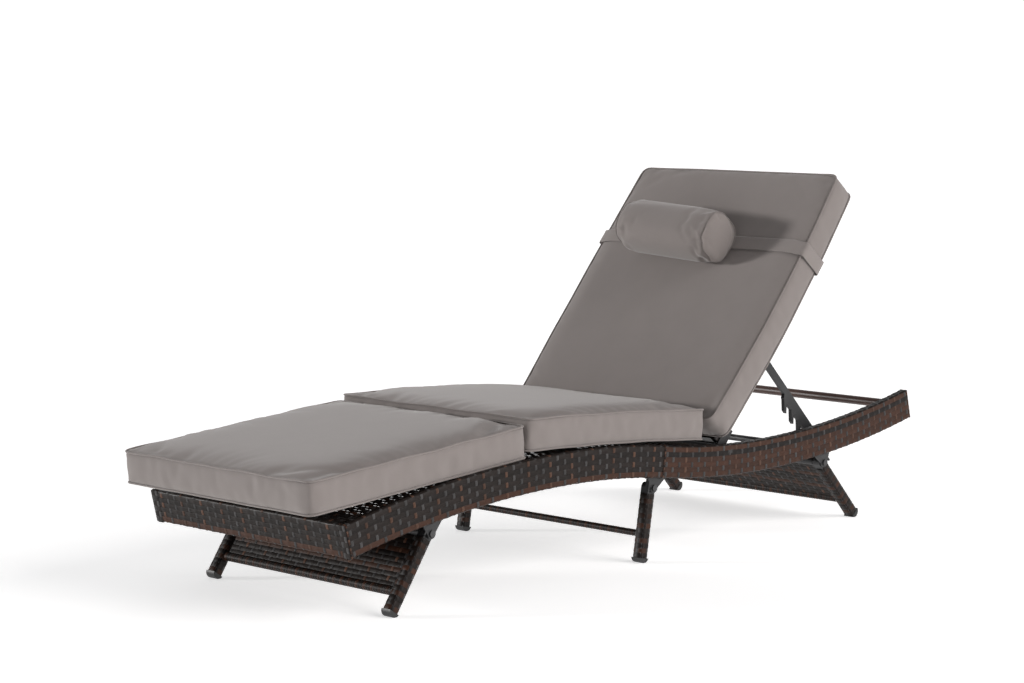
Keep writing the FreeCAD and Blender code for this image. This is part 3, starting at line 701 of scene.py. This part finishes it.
def inflate(name, points, faces, pinned, pressure, looseness, frames):
    """Runs cloth with inner pressure on a mesh held at its seams, and returns the moved points."""
    mesh = bpy.data.meshes.new(name)
    mesh.from_pydata([tuple(point) for point in points], [], faces)
    made = placed(name, mesh)
    group = made.vertex_groups.new(name="seams")
    group.add([int(number) for number in pinned], 1.0, "REPLACE")
    modifier = made.modifiers.new("Cloth", "CLOTH")
    settings = modifier.settings
    settings.quality = 5
    settings.mass = 0.2
    settings.tension_stiffness = 25
    settings.compression_stiffness = 25
    settings.shear_stiffness = 8
    settings.bending_stiffness = 0.6
    settings.shrink_min = -looseness
    settings.use_pressure = True
    settings.uniform_pressure_force = pressure
    settings.vertex_group_mass = "seams"
    settings.pin_stiffness = 1.0
    settings.effector_weights.gravity = 0
    modifier.collision_settings.use_collision = False
    modifier.point_cache.frame_start = 1
    modifier.point_cache.frame_end = frames
    for number in range(1, frames + 1):
        bpy.context.scene.frame_set(number)
    evaluated = made.evaluated_get(bpy.context.evaluated_depsgraph_get())
    moved = np.empty(len(points) * 3)
    evaluated.data.vertices.foreach_get("co", moved)
    made.modifiers.remove(modifier)
    bpy.context.scene.frame_set(1)
    return made, moved.reshape(-1, 3)


def soft_cap(offset, limit):
    return limit * np.tanh(offset / limit)


def finish_soft(made, points, matrix, material):
    made.data.vertices.foreach_set("co", points.ravel())
    made.data.transform(matrix)
    made.data.materials.append(material)
    for polygon in made.data.polygons:
        polygon.use_smooth = True
    smooth = made.modifiers.new("Subdivision", "SUBSURF")
    smooth.levels = 1
    smooth.render_levels = 1
    made.data.update()


def piping(name, points, loop, matrix, radius, proud, body):
    """A cord sewn into a seam: a round tube that follows the seam's points."""
    curve = bpy.data.curves.new(name, "CURVE")
    curve.dimensions = "3D"
    curve.bevel_depth = radius
    curve.bevel_resolution = 3
    spline = curve.splines.new("POLY")
    spline.points.add(len(loop) - 1)
    spline.use_cyclic_u = True
    for point, place in zip(spline.points, points[loop] + outward(points[loop]) * proud):
        point.co = (*(matrix @ Vector(place)), 1)
    curve.materials.append(PIPING)
    made = placed(name, curve)
    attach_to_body(made, body)
    return made


def crease(points, loops, depth, waves, reach):
    """Fine wrinkles across the boxing: each runs between the two seams and fades towards them."""
    last = len(loops) - 1
    ripple = wobble(len(loops[0]), depth, waves)
    lean = wobble(len(loops[0]), depth, waves)
    for number, loop in enumerate(loops[1:-1], start=1):
        fade = reach(number / last)
        share = number / last
        points[loop] += outward(points[loop]) * (fade * (ripple * (1 - share) + lean * share))[:, None]


def swell(points, length, width, spread, sag, bend):
    """The slow shape of a used cushion: wider at mid length, long edges sunk, slightly arched."""
    along = np.clip(points[:, 0] / length + 0.5, 0, 1)
    middle = np.sin(math.pi * along)
    side = points[:, 1] / (width / 2)
    points[:, 1] += spread * middle * side
    points[:, 2] += bend * middle - sag * middle * np.clip((np.abs(side) - 0.85) / 0.15, 0, 1)


def cushion(name, node, length, width, height, matrix, body, corner, crown, spread=0.0, sag=0.0, bend=0.0):
    """A box cushion: held along two piped seams, filled so that its panels swell between them."""
    layers = CUSHION_LAYERS
    points, faces, layer_of, loops = cage(length, width, height, CUSHION_CELL, layers, corner)
    rim = np.zeros(len(points), bool)
    rim[np.concatenate(loops)] = True
    seams = np.concatenate((loops[0], loops[-1]))
    for loop in (loops[0], loops[-1]):
        points[loop, 2] += wobble(len(loop), 0.0010, (3, 5, 7, 11, 16))
    made, moved = inflate(name, points, faces, seams, 4.0, 0.02, 16)
    shift = moved - points
    top = (layer_of == layers) & ~rim
    bottom = (layer_of == 0) & ~rim
    shift[top, 2] = soft_cap(shift[top, 2], crown)
    shift[bottom, 2] = np.clip(shift[bottom, 2], 0, 0.001)
    sides = rim & (layer_of > 0) & (layer_of < layers)
    reach = np.linalg.norm(shift[sides], axis=1, keepdims=True)
    shift[sides] *= soft_cap(reach, 0.004) / np.maximum(reach, 1e-6)
    final = points + shift
    crease(final, loops, 0.0011, range(24, 90, 3), lambda share: math.sin(math.pi * share))
    swell(final, length, width, spread, sag, bend)
    finish_soft(made, final, matrix, FABRIC)
    attach(made, body, node)
    for label, loop in (("lower", loops[0]), ("upper", loops[-1])):
        piping(f"{name}_{label}_piping", final, loop, matrix, PIPING_RADIUS, -PIPING_RADIUS / 2, body)
    return made


CUSHION_WIDTH, CUSHION_THICK = 0.654, 0.073
FOOT_TILT, SEAT_TILT = math.radians(4.25), math.radians(-4.0)


def lying(start, length, tilt, low):
    """Places a cushion's own frame so that its underside starts at (start, low) and rises by tilt."""
    turn = Matrix.Rotation(-tilt, 4, "Y")
    return Matrix.Translation(Vector((start[0], 0, start[1]))) @ turn @ Matrix.Translation(
        Vector((length / 2, 0, low + CUSHION_THICK / 2)))


def rest_point(tilt, radius):
    """Where a flat underside of the given tilt touches the rail's top edge beside the crest."""
    reach = radius + RAIL_HEIGHT / 2 + 0.0005
    return Vector((CREST_X - reach * math.sin(tilt), CREST_Z - radius + reach * math.cos(tilt)))


FOOT_START, FOOT_LENGTH, SEAT_LENGTH, PRESSED = -1.0525, 0.654, 0.628, 0.006


def seat_and_foot():
    """The leg cushion and the seat cushion, each laid flat on the rails and pressed against the other."""
    touch = rest_point(FOOT_TILT, FOOT_RADIUS)
    start = (FOOT_START + 0.001, touch.y - (touch.x - FOOT_START) * math.tan(FOOT_TILT))
    length = FOOT_LENGTH + PRESSED
    cushion("foot_cushion_cover", "foot_cushion", length, CUSHION_WIDTH, CUSHION_THICK,
            lying(start, length, FOOT_TILT, 0.001), "frame", corner=0.018, crown=0.018)
    seat_x = FOOT_START + FOOT_LENGTH * math.cos(FOOT_TILT) + PRESSED
    touch = rest_point(SEAT_TILT, WAVE_RADIUS)
    start = (seat_x, touch.y - (touch.x - seat_x) * math.tan(SEAT_TILT))
    length = SEAT_LENGTH - 0.005
    cushion("seat_cushion_cover", "seat_cushion", length, CUSHION_WIDTH, CUSHION_THICK,
            lying(start, length, SEAT_TILT, 0.001), "frame", corner=0.018, crown=0.015, bend=0.006)


BACK_LENGTH, BACK_COVER_WIDTH, BACK_THICK, BACK_REAR = 0.780, 0.672, 0.078, 0.0295
seat_and_foot()
back_centre = Vector((0.0125 + BACK_LENGTH / 2, 0, BACK_REAR + BACK_THICK / 2))
back_place = BACK_MATRIX @ Matrix.Translation(back_centre)
back_cover = cushion("back_cushion_cover", "back_cushion", BACK_LENGTH - 0.006, BACK_COVER_WIDTH,
                     BACK_THICK - 0.003, back_place, "backrest", corner=0.022, crown=0.008, spread=0.010,
                     sag=0.006)


# ------------------------------------------------------------------ pillow and strap
PANEL_HALF, STRAP_AT, STRAP_WIDTH, STRAP_THICK = 0.304, 0.549, 0.040, 0.0012
PILLOW_AT, PILLOW_Y, PILLOW_LENGTH, PILLOW_RADIUS = 0.530, 0.030, 0.320, 0.068
PILLOW_TAPER, PILLOW_SHOULDER, PILLOW_SKEW = 0.14, 0.010, math.radians(-4)


def back_cover_reach():
    """How far the back cushion's cover comes out of the back frame: its highest front and its widest side."""
    shown = back_cover.evaluated_get(bpy.context.evaluated_depsgraph_get()).data
    place = BACK_MATRIX.inverted() @ back_cover.matrix_world
    points = [place @ vertex.co for vertex in shown.vertices]
    return max(point.z for point in points), max(abs(point.y) for point in points)


cover_front, cover_side = back_cover_reach()


def pillow_shape(points, loops, moved, floor_height):
    """The filled bolster: round shoulders, puckered ends, and flat where it lies on the cushion."""
    shift = moved - points
    reach = np.linalg.norm(shift, axis=1, keepdims=True)
    final = points + shift * (soft_cap(reach, 0.006) / np.maximum(reach, 1e-6))
    from_end = np.abs(points[:, 2]).max() - np.abs(points[:, 2])
    final[:, :2] *= (1 - PILLOW_TAPER * np.exp(-from_end / PILLOW_SHOULDER))[:, None]
    crease(final, loops, 0.0024, range(6, 22, 2), lambda share: math.exp(-min(share, 1 - share) / 0.09))
    final[:, 1] = np.maximum(final[:, 1], floor_height)
    return final


def pillow():
    out = BACK_REAR + BACK_THICK + 0.0023 + PILLOW_RADIUS
    points, faces, _, loops = cage(0.128, 0.126, PILLOW_LENGTH - 0.010, 0.008, 36, 0.046)
    for loop in (loops[0], loops[-1]):
        points[loop, 2] += wobble(len(loop), 0.0018, (2, 3, 5, 9))
    made, moved = inflate("headrest_pillow_cover", points, faces, np.concatenate((loops[0], loops[-1])), 3.0,
                          0.03, 16)
    final = pillow_shape(points, loops, moved, cover_front + 0.0008 - out)
    turn = Matrix.Rotation(PILLOW_SKEW, 4, "Z") @ Matrix.Rotation(math.radians(90), 4, "X")
    place = BACK_MATRIX @ Matrix.Translation(Vector((PILLOW_AT, PILLOW_Y, out))) @ turn
    finish_soft(made, final, place, FABRIC)
    attach(made, "pillow", "headrest_pillow")
    for label, loop in (("near", loops[-1]), ("far", loops[0])):
        piping(f"pillow_{label}_seam", final, loop, place, PIPING_RADIUS / 2, 0.0002, "pillow")


def ramp_up(value, start, length):
    """0 up to start, then a straight rise to 1 over the length."""
    return min(max((value - start) / length, 0), 1)


def strap_ring(along, half, surface_height):
    """One line of the strap round the back cushion, as (along, y, out) places."""
    low, front = BACK_REAR - 0.0013, BACK_REAR + BACK_THICK
    over = [(y, max(surface_height(along, y), front - 0.004) + 0.0026 + 0.0022 * ramp_up(abs(y), 0.28, 0.04))
            for y in np.linspace(-half + 0.004, half - 0.004, 60)]
    down = [(half + 0.0005, out) for out in np.linspace(front - 0.004, low - 0.005, 8)]
    under = [(y, low - 0.0080 * ramp_up(abs(y), PANEL_HALF, 0.020))
             for y in np.linspace(half - 0.003, -half + 0.003, 72)]
    back_up_again = [(-half - 0.0005, out) for out in np.linspace(low - 0.005, front - 0.004, 8)]
    return [(along, y, out) for y, out in over + down + under + back_up_again]


def strap():
    """A flat sewn band round the back cushion, laid on the cover's real surface."""
    graph = bpy.context.evaluated_depsgraph_get()
    tree = BVHTree.FromObject(back_cover.evaluated_get(graph), graph)
    inverse = BACK_MATRIX.inverted()
    half = cover_side + 0.0012

    def surface_height(along, y):
        hit = tree.ray_cast(BACK_MATRIX @ Vector((along, y, 0.3)), -back_out)[0]
        return (inverse @ hit).z if hit else BACK_REAR + BACK_THICK

    lines = [strap_ring(STRAP_AT + edge * STRAP_WIDTH, half, surface_height)
             for edge in (-0.5, -0.42, 0.0, 0.42, 0.5)]
    rows = len(lines[0])
    faces = []
    for start in range(0, (len(lines) - 1) * rows, rows):
        for row in range(rows):
            following = (row + 1) % rows
            faces.append((start + row, start + rows + row, start + rows + following, start + following))
    mesh = bpy.data.meshes.new("pillow_strap_band")
    mesh.from_pydata([BACK_MATRIX @ Vector(point) for line in lines for point in line], [], faces)
    mesh.materials.append(BAND)
    mesh.polygons.foreach_set("use_smooth", np.ones(len(faces), bool))
    band = placed("pillow_strap_band", mesh)
    thick = band.modifiers.new("Thickness", "SOLIDIFY")
    thick.thickness = STRAP_THICK
    thick.offset = 0
    attach(band, "pillow", "pillow_strap")


pillow()
strap()

# ------------------------------------------------------------------ carried-over CAD pieces
FINISHES = {"black_steel": BLACK_STEEL, "brown_steel": BROWN_STEEL, "black_plastic": BLACK_PLASTIC,
            "fastener_steel": FASTENER}
slot_of = {part["node"]: part["material_slot"] for part in frame["record"]["subparts"]}
for name, item in frame["nodes"].items():
    if slot_of[name] in FINISHES:
        item.data.materials.clear()
        item.data.materials.append(FINISHES[slot_of[name]])
        bevel = item.modifiers.new("Edge", "BEVEL")
        bevel.width = 0.0008
        bevel.segments = 2
        bevel.limit_method = "ANGLE"
        bevel.angle_limit = math.radians(40)

# ------------------------------------------------------------------ stage, light and camera
FLOOR_HALF = 30.0


def pale_floor():
    """A plain pale floor that reads as white paper."""
    shader = Shader("pale_floor")
    place = shader.node("TexCoord").outputs["Object"]
    grain = shader.node("TexNoise", Vector=place, Scale=3.0, Detail=3.0).outputs["Fac"]
    shader.put(shader.surface.inputs["Base Color"],
               shader.ramp(grain, (0.3, (0.86, 0.86, 0.86)), (0.7, (0.90, 0.90, 0.90))))
    shader.surface.inputs["Roughness"].default_value = 0.9
    shader.surface.inputs["Specular IOR Level"].default_value = 0.0
    shader.surface.inputs["Emission Color"].default_value = (1, 1, 1, 1)
    shader.surface.inputs["Emission Strength"].default_value = 0.54
    mesh = bpy.data.meshes.new("floor")
    corners = [(x * FLOOR_HALF, y * FLOOR_HALF, 0) for x, y in ((-1, -1), (1, -1), (1, 1), (-1, 1))]
    mesh.from_pydata(corners, [], [(0, 1, 2, 3)])
    mesh.materials.append(shader.material)
    placed("floor", mesh)


def studio_world():
    """Bright white behind the lounger and a dimmer room in front of it."""
    world = bpy.data.worlds.new("studio")
    bpy.context.scene.world = world
    world.use_nodes = True
    tree = world.node_tree
    toward = tree.nodes.new("ShaderNodeVectorMath")
    toward.operation = "DOT_PRODUCT"
    toward.inputs[1].default_value = (0.62, 0.62, -0.48)
    tree.links.new(tree.nodes.new("ShaderNodeTexCoord").outputs["Generated"], toward.inputs[0])
    ramp = tree.nodes.new("ShaderNodeValToRGB")
    ramp.color_ramp.elements[0].position = 0.10
    ramp.color_ramp.elements[0].color = (0.19, 0.19, 0.195, 1)
    ramp.color_ramp.elements[1].position = 0.75
    ramp.color_ramp.elements[1].color = (1, 1, 1, 1)
    tree.links.new(toward.outputs["Value"], ramp.inputs["Fac"])
    tree.links.new(ramp.outputs["Color"], tree.nodes["Background"].inputs["Color"])
    tree.nodes["Background"].inputs["Strength"].default_value = 1.05


def distant_softbox(name, toward, strength, spread, colour):
    light = bpy.data.lights.new(name, "SUN")
    light.energy = strength
    light.angle = math.radians(spread)
    light.color = colour
    placed(name, light).rotation_euler = Vector(toward).to_track_quat("Z", "Y").to_euler()


pale_floor()
studio_world()
distant_softbox("left_softbox", (-0.66, 0.74, 0.14), 2.2, 8, (1.0, 0.99, 0.98))
distant_softbox("near_softbox", (0.30, -0.85, 0.38), 2.5, 45, (1.0, 0.97, 0.955))

AZIMUTH, TILT, ROLL = -0.78640356, 0.114405, -0.00868875
CAMERA_PLACE = Vector((-4.59799, -4.47289, 1.25418))
LENS, SENSOR = 91.40625, 36.0


def studio_camera():
    flat = math.cos(TILT)
    back_axis = Vector((math.sin(AZIMUTH) * flat, -math.cos(AZIMUTH) * flat, math.sin(TILT)))
    right_axis = (-back_axis).cross(Vector((0, 0, 1))).normalized()
    up_axis = right_axis.cross(-back_axis)
    across = math.cos(ROLL) * right_axis + math.sin(ROLL) * up_axis
    upward = -math.sin(ROLL) * right_axis + math.cos(ROLL) * up_axis
    data = bpy.data.cameras.new("camera")
    data.sensor_width = SENSOR
    data.lens = LENS
    data.clip_end = 100
    camera = placed("camera", data)
    axes = Matrix((across, upward, back_axis)).transposed().to_4x4()
    camera.matrix_world = Matrix.Translation(CAMERA_PLACE) @ axes
    bpy.context.scene.camera = camera


studio_camera()
bpy.context.scene.view_settings.view_transform = "Standard"
